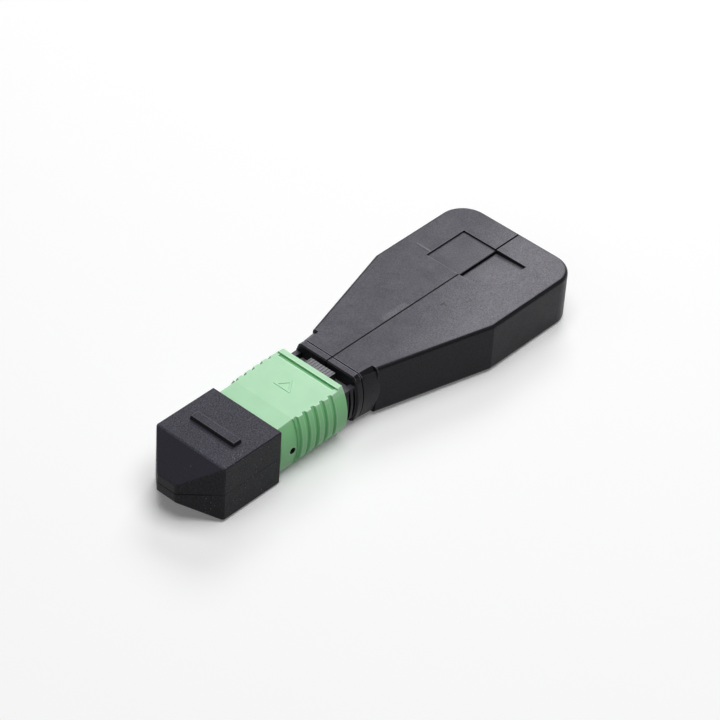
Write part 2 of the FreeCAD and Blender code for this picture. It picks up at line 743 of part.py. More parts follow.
def recess(side):
    """Shallow pad beside the parting line, its floor sloping toward the line."""
    width, (outer, inner) = ((recess_left_width, recess_left_depths) if side < 0
                             else (recess_right_width, recess_right_depths))
    top = shell_height / 2
    y_from = y_knee + recess_near
    corners = [Vector(0, y_from, top + 1), Vector(side * width, y_from, top + 1),
               Vector(side * width, y_from, top - outer), Vector(0, y_from, top - inner)]
    face = Part.Face(Part.makePolygon(corners + corners[:1]))
    return face.extrude(Vector(0, recess_length, 0))


def paddle_hollow():
    room = paddle_plate(shell_wall, shell_height - 2 * shell_wall)
    bore = rod(barrel_radius + fit_gap, y_band - 1, y_flare + 2 * shell_wall)
    y_ring = y_band + barrel_flange_place
    ring = rod(barrel_flange_radius + fit_gap, y_ring - fit_gap,
               y_ring + barrel_flange_length + fit_gap)
    return [room, bore, ring]


def peg_places():
    """Where the halves are pegged: beside the barrel's tail and in the far wall."""
    y_front = y_flare + shell_wall / 2
    z_front = (shell_height / 2 + barrel_radius) / 2
    y_rear = y_end - shell_wall / 2
    z_rear = shell_height / 2 - shell_wall
    return [(y_front, z_front), (y_front, -z_front), (y_rear, z_rear), (y_rear, -z_rear)]


def peg(y, z, radius, length, overlap):
    return Part.makeCylinder(radius, length + overlap, Vector(overlap, y, z), Vector(-1, 0, 0))


def seam_grooves():
    """Fine groove where the two halves meet, over the top, the far end and the underside."""
    half, far_half = seam_width / 2, seam_far_width / 2
    floor = shell_height / 2 - seam_depth
    y_far = y_knee + recess_near + recess_length
    cuts = [slab(-half, half, y_band - 1, y_end + 1, *sorted((side * floor, side * shell_height)))
            for side in (-1, 1)]
    cuts.append(slab(-far_half, far_half, y_far - 1, y_end + 1, floor, shell_height))
    cuts.append(slab(-half, half, y_end - seam_depth, y_end + 1, -shell_height, shell_height))
    return cuts


def shell(side):
    whole = paddle_outside().cut(paddle_hollow() + seam_grooves() + [recess(-1), recess(1)])
    half = slab(*sorted((0, side * pad_width)), y_tip, y_end + 1, -shell_height, shell_height)
    body = whole.common(half)
    if side > 0:
        return body.fuse([peg(y, z, peg_radius, peg_length, peg_radius) for y, z in peg_places()])
    return body.cut([peg(y, z, peg_radius + peg_clearance, peg_length + peg_clearance, 0)
                     for y, z in peg_places()])


# ---- Fibre ribbon: the flat stretch from the ferrule to where it is split for the loops
def y_ribbon_end():
    return y_flare + ribbon_end


def fibre_ribbon():
    body = block(ribbon_width(), y_face + ferrule_window_place + ribbon_play, y_ribbon_end(),
                 ribbon_thickness)
    radius = ribbon_thickness / 2 - ribbon_play / 2
    return body.makeFillet(radius, edges_along(body, Vector(0, 1, 0)))


# ---- Fibre loops: each joins a fibre on one side to its opposite number on the other
def fibre_loop(index):
    offset = fibre_pitch * (index + 0.5)
    outermost = fibre_count // 2 - 1
    radius = loop_radius - loop_step * (outermost - index)
    y_centre = y_end - shell_wall - loop_end_clearance - loop_radius
    lead = loop_lead_radius
    span = lead + radius
    y_lead = y_centre - math.sqrt(span ** 2 - (offset + lead) ** 2)
    lead_angle = math.atan2(y_centre - y_lead, offset + lead)
    right = [Vector(offset, y_ribbon_end(), 0)]
    right += arc_points(Vector(offset + lead, y_lead, 0), lead, math.pi, math.pi - lead_angle, 5)
    right += arc_points(Vector(0, y_centre, 0), radius, -lead_angle, math.pi / 2, 11)[1:]
    left = [Vector(-p.x, p.y, 0) for p in reversed(right[:-1])]
    return tube_through(right + left, fibre_radius, 5)


save("dust_cap", dust_cap())
save("plug_frame", plug_frame())
save("mt_ferrule", ferrule())
save("ferrule_potting", ferrule_potting())
save("ferrule_boot", ferrule_boot())
save("pin_spacer", pin_spacer())
save("ferrule_spring", ferrule_spring())
save("spring_push", spring_push())
save("coupling_sleeve", coupling_sleeve())
save("coupling_spring_left", coupling_spring(-1))
save("coupling_spring_right", coupling_spring(1))
save("shell_left", shell(-1))
save("shell_right", shell(1))
save("fibre_ribbon", fibre_ribbon())
for number in range(fibre_count // 2):
    save("fibre_loop_" + str(number + 1), fibre_loop(number))
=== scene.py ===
import math

import bmesh
import bpy
from mathutils import Matrix, Vector


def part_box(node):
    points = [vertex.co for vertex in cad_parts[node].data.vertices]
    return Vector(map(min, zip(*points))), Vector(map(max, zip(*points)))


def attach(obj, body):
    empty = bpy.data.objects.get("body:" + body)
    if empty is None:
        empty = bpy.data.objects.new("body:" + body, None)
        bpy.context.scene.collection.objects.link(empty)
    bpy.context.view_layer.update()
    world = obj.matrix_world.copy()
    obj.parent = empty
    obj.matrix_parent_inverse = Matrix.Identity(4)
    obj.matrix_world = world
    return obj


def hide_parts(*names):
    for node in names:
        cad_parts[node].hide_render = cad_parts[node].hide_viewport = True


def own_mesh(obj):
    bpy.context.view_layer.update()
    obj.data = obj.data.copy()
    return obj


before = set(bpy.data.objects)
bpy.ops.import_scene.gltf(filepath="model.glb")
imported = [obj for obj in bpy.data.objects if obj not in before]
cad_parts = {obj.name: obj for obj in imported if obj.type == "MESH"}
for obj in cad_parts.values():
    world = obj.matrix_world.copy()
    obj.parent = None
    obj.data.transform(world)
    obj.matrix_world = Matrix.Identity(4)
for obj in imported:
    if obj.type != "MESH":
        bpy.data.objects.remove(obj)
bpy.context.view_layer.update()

# ---- Table top, light and camera ------------------------------------------------------------
# A plain white table top, which leans a little because the plug lies on its sleeve's rear lip
# and on its paddle's far end. A large soft lamp hangs over it, a lower one stands behind it on
# the left, and two weak ones stand in front.
MM = 0.001
sleeve_low, sleeve_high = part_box("coupling_sleeve")
shell_low, shell_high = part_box("shell_right")
TABLE_SLOPE = (shell_low.z - sleeve_low.z) / (shell_high.y - sleeve_high.y)
TABLE_HALF = 2.0
TABLE_WHITE = (0.93, 0.93, 0.935)       # as it is seen
TABLE_GLOW = 0.13                       # added to it, for a plain pale ground
TABLE_SHADE = (0.42, 0.42, 0.42)        # as it lights the plug from below
SKY_SEEN = 1.0
SKY_FILL = 0.02                         # what the open room adds to the lamps


def add_object(name, data):
    """A mesh, lamp or camera as an object at the origin."""
    thing = bpy.data.objects.new(name, data)
    bpy.context.scene.collection.objects.link(thing)
    return thing


def seen_directly(nodes, links):
    """1 for what is looked at, straight or by way of a shiny or clear surface."""
    path = nodes.new("ShaderNodeLightPath")
    seen = path.outputs["Is Camera Ray"]
    for ray in ("Is Transmission Ray", "Is Glossy Ray"):
        either = nodes.new("ShaderNodeMath")
        either.operation = "ADD"
        either.use_clamp = True
        links.new(seen, either.inputs[0])
        links.new(path.outputs[ray], either.inputs[1])
        seen = either.outputs[0]
    return seen


def table_paint():
    """White to look at, and greyer in the light that it throws back at the plug."""
    paint = bpy.data.materials.new("table_white")
    paint.use_nodes = True
    nodes, links = paint.node_tree.nodes, paint.node_tree.links
    nodes.clear()
    shade = nodes.new("ShaderNodeBsdfDiffuse")
    shade.inputs["Color"].default_value = (*TABLE_SHADE, 1)
    white = nodes.new("ShaderNodeBsdfDiffuse")
    white.inputs["Color"].default_value = (*TABLE_WHITE, 1)
    glow = nodes.new("ShaderNodeEmission")
    glow.inputs["Strength"].default_value = TABLE_GLOW
    glowing_white = nodes.new("ShaderNodeAddShader")
    links.new(white.outputs[0], glowing_white.inputs[0])
    links.new(glow.outputs[0], glowing_white.inputs[1])
    choice = nodes.new("ShaderNodeMixShader")
    links.new(seen_directly(nodes, links), choice.inputs[0])
    links.new(shade.outputs[0], choice.inputs[1])
    links.new(glowing_white.outputs[0], choice.inputs[2])
    out = nodes.new("ShaderNodeOutputMaterial")
    links.new(choice.outputs[0], out.inputs["Surface"])
    return paint


def table_corner(x, y):
    """A corner of the leaning table top, which meets the lip's lower edge."""
    return (x, y, sleeve_low.z + TABLE_SLOPE * (y - sleeve_high.y))


table_mesh = bpy.data.meshes.new("table")
table_mesh.from_pydata(
    [table_corner(-TABLE_HALF, -TABLE_HALF), table_corner(TABLE_HALF, -TABLE_HALF),
     table_corner(TABLE_HALF, TABLE_HALF), table_corner(-TABLE_HALF, TABLE_HALF)],
    [], [(0, 1, 2, 3)])
table_mesh.materials.append(table_paint())
add_object("table", table_mesh)

world = bpy.data.worlds.new("studio")
bpy.context.scene.world = world
world.use_nodes = True
sky_nodes, sky_links = world.node_tree.nodes, world.node_tree.links
sky = sky_nodes["Background"]
sky.inputs["Color"].default_value = (1, 1, 1, 1)
sky_strength = sky_nodes.new("ShaderNodeMapRange")
sky_strength.inputs["To Min"].default_value = SKY_FILL
sky_strength.inputs["To Max"].default_value = SKY_SEEN
sky_links.new(seen_directly(sky_nodes, sky_links), sky_strength.inputs["Value"])
sky_links.new(sky_strength.outputs["Result"], sky.inputs["Strength"])


def soft_lamp(name, place, size, power):
    """A lamp with a soft rectangular front, turned to the plug: metres and watts."""
    light = bpy.data.lights.new(name, "AREA")
    light.shape = "RECTANGLE"
    light.size, light.size_y = size
    light.energy = power
    lamp = add_object(name, light)
    lamp.location = place
    lamp.rotation_euler = (-Vector(place)).to_track_quat("-Z", "Y").to_euler()


soft_lamp("back_lamp", place=(-0.20, 0.30, 0.29), size=(0.20, 0.18), power=0.70)
soft_lamp("overhead_lamp", place=(0.05, 0.02, 0.60), size=(0.5, 0.5), power=2.85)
soft_lamp("right_lamp", place=(0.30, -0.55, 0.40), size=(0.4, 0.4), power=0.18)
soft_lamp("left_lamp", place=(-0.30, -0.45, 0.40), size=(0.4, 0.4), power=0.19)

AZIMUTH = math.radians(39.81)
ELEVATION = math.radians(39.88)
ROLL = math.radians(4.1)
CAMERA_DISTANCE = 406.5 * MM
CAMERA_AIM = Vector((0.086, 1.697, 4.124)) * MM
LENS = 165.06           # mm, in front of a film of this width
FILM = 36
NEAREST_SEEN = 10 * MM

to_camera = Vector((math.sin(AZIMUTH) * math.cos(ELEVATION),
                    -math.cos(AZIMUTH) * math.cos(ELEVATION), math.sin(ELEVATION)))
level_right = Vector((math.cos(AZIMUTH), math.sin(AZIMUTH), 0))
level_up = to_camera.cross(level_right)
camera_right = level_right * math.cos(ROLL) + level_up * math.sin(ROLL)
camera_up = level_up * math.cos(ROLL) - level_right * math.sin(ROLL)
camera_data = bpy.data.cameras.new("camera")
camera_data.lens = LENS
camera_data.sensor_width = FILM
camera_data.clip_start = NEAREST_SEEN
camera = add_object("camera", camera_data)
camera_turn = Matrix((camera_right, camera_up, to_camera)).transposed().to_4x4()
camera.matrix_world = Matrix.Translation(CAMERA_AIM + to_camera * CAMERA_DISTANCE) @ camera_turn
bpy.context.scene.camera = camera
bpy.context.scene.view_settings.view_transform = "Standard"


# ---- Dust cap -------------------------------------------------------------------------------
# A one-piece cap moulded in soft black plastic with a fine matt grain, pushed over the plug's
# nose. The mould closed on a line round its middle, left as a thin witness, and its rough face
# has picked up a little pale dust.
plug_axis_z = (sleeve_low.z + sleeve_high.z) / 2
cap_low, cap_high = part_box("dust_cap")
WITNESS_PLACE = 2.75 * MM       # the line is strong as far as this from the cap's tip
BAR_EDGE_DEPTH = 0.1 * MM       # the bar's painted edge highlight starts this far below its top
CAP_BLACK = (0.050, 0.048, 0.066)
# The wall and edge tones are painted shade, and the crest tone a painted highlight.
CAP_WALL_SHADE = (0.024, 0.024, 0.026)
CAP_EDGE_SHADE = (0.016, 0.015, 0.022)
CAP_CREST_HIGHLIGHT = (0.11, 0.108, 0.122)
CAP_DUST = (0.30, 0.30, 0.32)
BLUISH = (0.90, 0.88, 1.0)      # the sheen of carbon-black plastic under a cool lamp
PITCH_AND_SHADE = (0.004, 0.004, 0.005)   # darkest black: marks, the seam, and painted shade
BLACK = (0, 0, 0)


class Finish:
    """Builds one procedural material on the piece's own coordinates."""
    SOFTENED = 0.06 * MM        # the radius that sharp edges are softened to
    OUTER_CORNER = (0.55, 0.95)     # how open a point is from inside, from corners to the flat
    INNER_CORNER = (0.45, 0.90)     # and from outside
    BORE_EDGE = 1.04            # a bore's painted shade fades out at this share of its radius

    def __init__(self, name):
        self.material = bpy.data.materials.new(name)
        self.material.use_nodes = True
        self.nodes = self.material.node_tree.nodes
        self.links = self.material.node_tree.links
        self.surface = self.nodes["Principled BSDF"]
        places = self.nodes.new("ShaderNodeTexCoord")
        self.place = places.outputs["Object"]
        self.facing = self.nodes.new("ShaderNodeSeparateXYZ")
        self.links.new(places.outputs["Normal"], self.facing.inputs[0])
        self.spot = self.nodes.new("ShaderNodeSeparateXYZ")
        self.links.new(self.place, self.spot.inputs[0])

    def noise(self, size, detail=2.0, roughness=0.5):
        """A cloudy pattern whose largest patches have this size."""
        node = self.nodes.new("ShaderNodeTexNoise")
        node.inputs["Scale"].default_value = 1 / size
        node.inputs["Detail"].default_value = detail
        node.inputs["Roughness"].default_value = roughness
        self.links.new(self.place, node.inputs["Vector"])
        return node.outputs["Fac"]

    def spread(self, value, low, high, to_low=0.0, to_high=1.0):
        """A clamped straight-line change of range."""
        node = self.nodes.new("ShaderNodeMapRange")
        for socket, number in (("From Min", low), ("From Max", high),
                               ("To Min", to_low), ("To Max", to_high)):
            node.inputs[socket].default_value = number
        self.links.new(value, node.inputs["Value"])
        return node.outputs["Result"]

    def reckon(self, operation, *values):
        """One sum with one or two values."""
        node = self.nodes.new("ShaderNodeMath")
        node.operation = operation
        for socket, value in zip(node.inputs, values):
            self.links.new(value, socket)
        return node.outputs[0]

    def both(self, first, second):
        """1 where both shares are 1."""
        return self.reckon("MULTIPLY", first, second)

    def mix(self, share, first, second):
        """The first colour where the share is 0, and the second where it is 1."""
        node = self.nodes.new("ShaderNodeMix")
        node.data_type = "RGBA"
        self.links.new(share, node.inputs[0])
        for socket, colour in ((node.inputs[6], first), (node.inputs[7], second)):
            if isinstance(colour, tuple):
                socket.default_value = (*colour, 1)
            else:
                self.links.new(colour, socket)
        return node.outputs[2]

    def levelness(self):
        """1 on a level face, and 0 on an upright one."""
        return self.reckon("ABSOLUTE", self.facing.outputs["Z"])

    def between(self, value, low, high, soft):
        """1 between two values, with soft ends outside them."""
        return self.both(self.spread(value, low - soft, low),
                         self.spread(value, high, high + soft, 1.0, 0.0))

    def within(self, axis, low, high, soft):
        """1 between two places along an axis, in metres."""
        return self.between(self.spot.outputs[axis], low, high, soft)

    def along(self, way):
        """Distance along a slanting direction, in metres."""
        reach = self.nodes.new("ShaderNodeVectorMath")
        reach.operation = "DOT_PRODUCT"
        reach.inputs[1].default_value = way
        self.links.new(self.place, reach.inputs[0])
        return reach.outputs["Value"]

    def corner(self, width, inside):
        """How open the piece is round a point, seen from outside it or from inside it."""
        node = self.nodes.new("ShaderNodeAmbientOcclusion")
        node.inside = inside
        node.only_local = True
        node.samples = 8
        node.inputs["Distance"].default_value = width
        return node.outputs["AO"]

    def crest(self, width):
        """1 along outer corners, and 0 in hollows and on the flat."""
        return self.spread(self.corner(width, True), *self.OUTER_CORNER, 1.0, 0.0)

    def hollow(self, width):
        """1 in inner corners and grooves, and 0 on the flat."""
        return self.spread(self.corner(width, False), *self.INNER_CORNER, 1.0, 0.0)

    def in_bore(self, y, z, radius):
        """1 inside a round bore that runs along X."""
        flat = self.nodes.new("ShaderNodeVectorMath")
        flat.operation = "MULTIPLY"
        flat.inputs[1].default_value = (0, 1, 1)
        self.links.new(self.place, flat.inputs[0])
        reach = self.nodes.new("ShaderNodeVectorMath")
        reach.operation = "DISTANCE"
        reach.inputs[1].default_value = (0, y, z)
        self.links.new(flat.outputs["Vector"], reach.inputs[0])
        return self.spread(reach.outputs["Value"], radius, radius * self.BORE_EDGE, 1.0, 0.0)

    def relief(self, height, depth):
        """Fine relief, on top of softened edges."""
        edge = self.nodes.new("ShaderNodeBevel")
        edge.samples = 6
        edge.inputs["Radius"].default_value = self.SOFTENED
        node = self.nodes.new("ShaderNodeBump")
        node.inputs["Strength"].default_value = 1.0
        node.inputs["Distance"].default_value = depth
        self.links.new(height, node.inputs["Height"])
        self.links.new(edge.outputs["Normal"], node.inputs["Normal"])
        self.links.new(node.outputs["Normal"], self.surface.inputs["Normal"])

    def done(self, tone, gloss):
        """The material, with its colour and its roughness in place."""
        self.links.new(tone, self.surface.inputs["Base Color"])
        self.links.new(gloss, self.surface.inputs["Roughness"])
        return self.material


class Moulding(Finish):
    """Injection-moulded plastic: a fine grain, and layers of tone and gloss that follow it."""
    TONE_PATCHES = 5 * MM       # of slow changes of tone
    GLOSS_PATCHES = 1.6 * MM
    GLOSS_CHANGE = (-0.03, 0.04)        # in roughness, between such patches
    CLOUD = (0.3, 0.7)          # the part of a cloudy pattern's range that is used
    GRAIN = (0.36, 0.64)        # the same for the grain, from its pits to its tops
    PIT_ROUGHNESS = 0.2         # added in the pits, as a share of how dark they are
    WALLS = (0.35, 0.80)        # in levelness, from upright faces to flat ones
    UPPER_FACE = (6.2 * MM, 6.6 * MM)   # marks come in between these heights
    SHEEN_WAY = (1.0, 0.35, 0.0)        # the way along which a painted sheen grows
    EDGE_BLEND = 0.08           # in levelness, between a polished edge and a grained face
    EDGE_POLISH = 0.16          # in roughness, taken off a polished edge
    LINE_HALF = 0.05 * MM       # half the width of the line where the mould closed
    LINE_WALLS = (0.3, 0.5)     # in levelness: the line is on walls, and ends between these
    LINE_FADE = 0.5 * MM        # it grows fainter along this length
    LINE_FAINT = 0.3
    LINE_BREAKS = 2.2 * MM
    LINE_ROUGHNESS = 0.5
    FLECK_LEVEL = 0.80          # flecks are where the noise is above this, less their share
    FLECK_COVER = 0.75          # how much of the plastic's own tone they hide
    DUST_PATCHES = 2.6 * MM
    DUST_SIDE = (0, 4 * MM)     # dust gathers between these places along X, and beyond
    DUST_ELSEWHERE = 0.2        # as a share of the dust there
    HIGHLIGHT_BLEND = 0.05 * MM
    SEAM_BLEND = 0.03 * MM

    def __init__(self, name, grain):
        super().__init__(name)
        self.fine = self.noise(grain, 3, 0.6)

    def lay(self, share, colour):
        """Another colour over the tone so far, where the share is 1."""
        self.tone = self.mix(share, self.tone, colour)

    def mottled(self, colour, mottle):
        """The plastic's own colour, in slightly darker and paler patches."""
        darker, paler = (tuple(min(part * factor, 1.0) for part in colour)
                         for factor in (1 - mottle, 1 + mottle))
        cloud = self.spread(self.noise(self.TONE_PATCHES, 3), *self.CLOUD)
        self.tone = self.mix(cloud, darker, paler)

    def painted_sheen_drift(self, low, high, colour):
        """A painted sheen, paler far along one way."""
        self.lay(self.spread(self.along(self.SHEEN_WAY), low, high), colour)

    def upright(self, colour):
        """Painted light on the upright faces: another tone for how the light falls there."""
        self.lay(self.spread(self.levelness(), *self.WALLS, 1.0, 0.0), colour)

    def marked(self, x_from, x_to, y_from, y_to, soft, share, colour):
        """A soft-edged mark on the upper face, all in mm."""
        spot = self.both(self.within("X", x_from * MM, x_to * MM, soft * MM),
                         self.within("Y", y_from * MM, y_to * MM, soft * MM))
        top = self.spread(self.spot.outputs["Z"], *self.UPPER_FACE, 0, share)
        self.lay(self.both(spot, top), colour)

    def pitted(self, roughness, speckle):
        """The grain's pits, darker and rougher than its tops, on a slowly changing gloss."""
        self.lay(self.spread(self.fine, *self.GRAIN, speckle, 0), BLACK)
        glossiest, roughest = (roughness + change for change in self.GLOSS_CHANGE)
        patches = self.spread(self.noise(self.GLOSS_PATCHES, 4), *self.CLOUD,
                              glossiest, roughest)
        pits = self.spread(self.fine, *self.GRAIN, speckle * self.PIT_ROUGHNESS, 0)
        self.gloss = self.reckon("ADD", patches, pits)

    def polished_edges_painted_light(self, low, high, colour):
        """Rounded edges, known by levelness: painted light, glossier where the mould was
        polished.
        """
        polished = self.between(self.levelness(), low, high, self.EDGE_BLEND)
        self.lay(polished, colour)
        self.gloss = self.reckon("SUBTRACT", self.gloss,
                                 self.spread(polished, 0, 1, 0, self.EDGE_POLISH))

    def witness_line(self, height, share, faint_from):
        """The thin broken line where the mould closed, fainter from a place along Y on."""
        line = self.within("Z", height - self.LINE_HALF, height + self.LINE_HALF, self.LINE_HALF)
        line = self.both(line, self.spread(self.levelness(), *self.LINE_WALLS, share, 0))
        line = self.both(line, self.spread(self.spot.outputs["Y"], faint_from,
                                           faint_from + self.LINE_FADE, 1, self.LINE_FAINT))
        broken = self.spread(self.noise(self.LINE_BREAKS, 1), 0.35, 0.55, 0.45, 1)
        self.lay(self.both(line, broken), BLACK)
        self.gloss = self.reckon("ADD", self.gloss,
                                 self.spread(line, 0, 1, 0, self.LINE_ROUGHNESS))

    def dusty(self, size, share, colour):
        """Pale flecks in patches, more of them on one side."""
        level = self.FLECK_LEVEL - share
        flecks = self.spread(self.noise(size, 0, 0.3), level, level + 0.02, 0, self.FLECK_COVER)
        patches = self.spread(self.noise(self.DUST_PATCHES, 1), 0.46, 0.60)
        patches = self.both(patches, self.spread(self.spot.outputs["X"], *self.DUST_SIDE,
                                                 self.DUST_ELSEWHERE, 1))
        self.lay(self.both(flecks, patches), colour)

    def painted_crest_highlight(self, width, colour, height):
        """Painted highlight along outer corners, above a height."""
        above = self.spread(self.spot.outputs["Z"], height - self.HIGHLIGHT_BLEND, height)
        self.lay(self.both(self.crest(width), above), colour)

    def painted_hollow_shade(self, width, colour):
        """Inner corners and grooves, where little light gets in."""
        self.lay(self.hollow(width), colour)

    def seamed(self, half_width, colour):
        """The seam along the middle, where two halves meet."""
        self.lay(self.within("X", -half_width, half_width, self.SEAM_BLEND), colour)

    def painted_bore_shade(self, y, z, radius, colour):
        """Painted shade inside a bore along X."""
        self.lay(self.in_bore(y, z, radius), colour)


def moulded_plastic(name, colour, roughness, grain=0.07 * MM, depth=0.004 * MM, mottle=0.1,
                    speckle=0.3, specular=0.25, tint=(1, 1, 1), sheen_drift=None, walls=None,
                    marks=(), edges=None, witness=None, dust=None, painted_crest_highlight=None, hollows=None,
                    seam=None, bore=None):
    """A moulded plastic with the layers that its piece shows, laid on in this order."""
    plastic = Moulding(name, grain)
    plastic.surface.inputs["Specular IOR Level"].default_value = specular
    plastic.surface.inputs["Specular Tint"].default_value = (*tint, 1)
    plastic.mottled(colour, mottle)
    if sheen_drift:
        plastic.painted_sheen_drift(*sheen_drift)
    if walls:
        plastic.upright(walls)
    for mark in marks:
        plastic.marked(*mark)
    plastic.pitted(roughness, speckle)
    for layer, sizes in ((plastic.polished_edges_painted_light, edges), (plastic.witness_line, witness),
                         (plastic.dusty, dust), (plastic.painted_crest_highlight, painted_crest_highlight),
                         (plastic.painted_hollow_shade, hollows), (plastic.seamed, seam),
                         (plastic.painted_bore_shade, bore)):
        if sizes:
            layer(*sizes)
    plastic.relief(plastic.fine, depth)
    return plastic.done(plastic.tone, plastic.gloss)


def dress(node, material):
    """Give a CAD node its finish; its mesh stays as it is."""
    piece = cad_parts[node]
    piece.data.materials.clear()
    piece.data.materials.append(material)


# Painted shade on upright faces, rounded edges and hollows; painted highlight on the bar's
# edges.
cap_black = moulded_plastic(
    "cap_black", CAP_BLACK, 0.40, grain=0.15 * MM, depth=0.016 * MM, speckle=0.8, specular=0.15,
    tint=BLUISH, walls=CAP_WALL_SHADE, edges=(0.62, 0.86, CAP_EDGE_SHADE),
    witness=(plug_axis_z, 0.9, cap_low.y + WITNESS_PLACE), dust=(0.15 * MM, 0.011, CAP_DUST),
    painted_crest_highlight=(0.16 * MM, CAP_CREST_HIGHLIGHT, cap_high.z - BAR_EDGE_DEPTH), hollows=(0.55 * MM, PITCH_AND_SHADE))
dress("dust_cap", cap_black)

# ---- Coupling sleeve ------------------------------------------------------------------------
# The pull sleeve, moulded in mint green plastic, with painted light: a deeper green on its
# grooved sides than on its flat faces. It slides on the plug frame against a small spring in
# each side, and a raised plain arrow on its upper face shows which way it is pulled.
LIP_RISE = 0.20 * MM            # the rear lip stands this far above the flat upper face
PULL_HOLE_PLACE = 2.0 * MM      # from the sleeve's front edge
PULL_HOLE_DROP = 0.15 * MM      # below the plug's axis
PULL_HOLE_RADIUS = 0.46 * MM    # of the painted shade: the bore itself has 0.45 mm
ARROW_PLACE = 5.85 * MM         # its tail, from the sleeve's front edge
ARROW_LENGTH = 2.00 * MM
ARROW_WIDTH = 2.90 * MM
ARROW_LINE = 0.36 * MM
ARROW_RISE = 0.06 * MM
ARROW_ROOT = 0.05 * MM          # how deep its foot stands in the face
ARROW_BEVEL = 0.05 * MM
MINT = (0.345, 0.655, 0.388)
# Painted light on walls, painted highlight on edges and crests, painted shade in grooves and
# bore.
MINT_WALL_LIGHT = (0.282, 0.740, 0.318)
MINT_EDGE_HIGHLIGHT = (0.43, 0.74, 0.47)
MINT_HOLLOW_SHADE = (0.20, 0.54, 0.25)
MINT_CREST_HIGHLIGHT = (0.62, 0.94, 0.66)
MINT_BORE_SHADE = (0.012, 0.030, 0.014)
# Painted light on upright faces, painted highlight on edges and painted shade in grooves.
mint_look = dict(grain=0.12 * MM, depth=0.002 * MM, mottle=0.03, speckle=0.03, specular=0.45,
                 walls=MINT_WALL_LIGHT, edges=(0.5, 0.9, MINT_EDGE_HIGHLIGHT), hollows=(0.70 * MM, MINT_HOLLOW_SHADE))
# The sleeve adds a painted highlight on its outer corners and painted shade in the pull hole.
sleeve_green = moulded_plastic(
    "sleeve_green", MINT, 0.36, painted_crest_highlight=(0.22 * MM, MINT_CREST_HIGHLIGHT, 0),
    bore=(sleeve_low.y + PULL_HOLE_PLACE, plug_axis_z - PULL_HOLE_DROP, PULL_HOLE_RADIUS,
          MINT_BORE_SHADE), **mint_look)
arrow_green = moulded_plastic("arrow_green", MINT, 0.36, **mint_look)
dress("coupling_sleeve", sleeve_green)


def arrow_outline(inset):
    """The arrow's three corners, moved inwards by the inset."""
    half_width = ARROW_WIDTH / 2
    slant = math.hypot(ARROW_LENGTH, half_width)
    tail = sleeve_low.y + ARROW_PLACE + inset
    tip = sleeve_low.y + ARROW_PLACE + ARROW_LENGTH - inset * slant / half_width
    half_tail = half_width * (tip - tail) / ARROW_LENGTH
    return [(-half_tail, tail), (half_tail, tail), (0, tip)]


arrow = bmesh.new()
rings = []
for inset, rise in ((0.0, -ARROW_ROOT), (ARROW_BEVEL, ARROW_RISE),
                    (ARROW_LINE - ARROW_BEVEL, ARROW_RISE), (ARROW_LINE, -ARROW_ROOT)):
    z = sleeve_high.z - LIP_RISE + rise
    rings.append([arrow.verts.new((x, y, z)) for x, y in arrow_outline(inset)])
for ring, following in zip(rings, rings[1:] + rings[:1]):
    for corner in range(3):
        after = (corner + 1) % 3
        arrow.faces.new((ring[corner], ring[after], following[after], following[corner]))
bmesh.ops.recalc_face_normals(arrow, faces=arrow.faces)
arrow_mesh = bpy.data.meshes.new("pull_arrow")
arrow.to_mesh(arrow_mesh)
arrow.free()
arrow_mesh.materials.append(arrow_green)
pull_arrow = add_object("pull_arrow", arrow_mesh)
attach(pull_arrow, "sleeve")

# ---- Plug frame and spring push -------------------------------------------------------------
# The inner housing and the rear body that snaps into it, both moulded in black engineering
# plastic. The rear body has painted light on its level faces and painted shade on its walls.
FRAME_BLACK = (0.016, 0.016, 0.018)
# The paler tone is painted light, and the wall tone painted shade.
PUSH_TOP_LIGHT = (0.18, 0.178, 0.190)
PUSH_WALL_SHADE = (0.028, 0.028, 0.031)
frame_black = moulded_plastic("frame_black", FRAME_BLACK, 0.40, grain=0.14 * MM, speckle=0.4)
# Painted light on the rear body's level faces, painted shade on its walls.
push_black = moulded_plastic("push_black", PUSH_TOP_LIGHT, 0.32, grain=0.14 * MM, speckle=0.4,
                             tint=BLUISH, walls=PUSH_WALL_SHADE)
dress("plug_frame", frame_black)
dress("spring_push", push_black)

# ---- Paddle shells --------------------------------------------------------------------------
# Two halves moulded in satin black plastic, pegged and pushed together on the centre line.
# The mould was polished at its rounded edges, which run glossier and carry painted shade.
SHELL_BLACK = (0.077, 0.074, 0.093)
SHELL_SHEEN = (0.195, 0.190, 0.215)       # painted sheen, towards the right-hand far corner
SHELL_SHEEN_SPAN = (4.8 * MM, 12.5 * MM)
# The wall and edge tones are painted shade, and the crest tone a painted highlight.
SHELL_WALL_SHADE = (0.026, 0.026, 0.029)
SHELL_EDGE_SHADE = (0.001, 0.001, 0.001)
SHELL_CREST_HIGHLIGHT = (0.17, 0.167, 0.190)
HIGHLIGHT_ABOVE = 7.0 * MM
SEAM_HALF = 0.13 * MM
# Painted highlight, for the marks below.
PAINTED_HIGHLIGHT = (0.26, 0.256, 0.280)
SHELL_MARKS = (     # x and y from, to, how soft and how strong, in mm, on the upper face
    (-0.75, -0.25, 6.5, 10.5, 0.45, 0.34, PAINTED_HIGHLIGHT),           # painted highlight of a faint sink beside the seam
    (-7.8, -5.5, 20.78, 20.90, 0.12, 0.55, PAINTED_HIGHLIGHT),          # painted highlight and shade of a small step in the mould
    (-7.8, -5.5, 20.50, 20.60, 0.12, 0.45, PITCH_AND_SHADE),
    (1.6, 3.2, 22.3, 24.3, 1.5, 0.32, PAINTED_HIGHLIGHT),               # painted reflection on a recess floor
    (-4.5, -3.0, 21.8, 23.0, 1.3, 0.14, PAINTED_HIGHLIGHT),
    (2.50, 2.62, 13.6, 14.3, 0.12, 0.6, PITCH_AND_SHADE),                 # a small scuff
    (2.60, 3.10, 14.0, 14.08, 0.12, 0.5, PITCH_AND_SHADE))
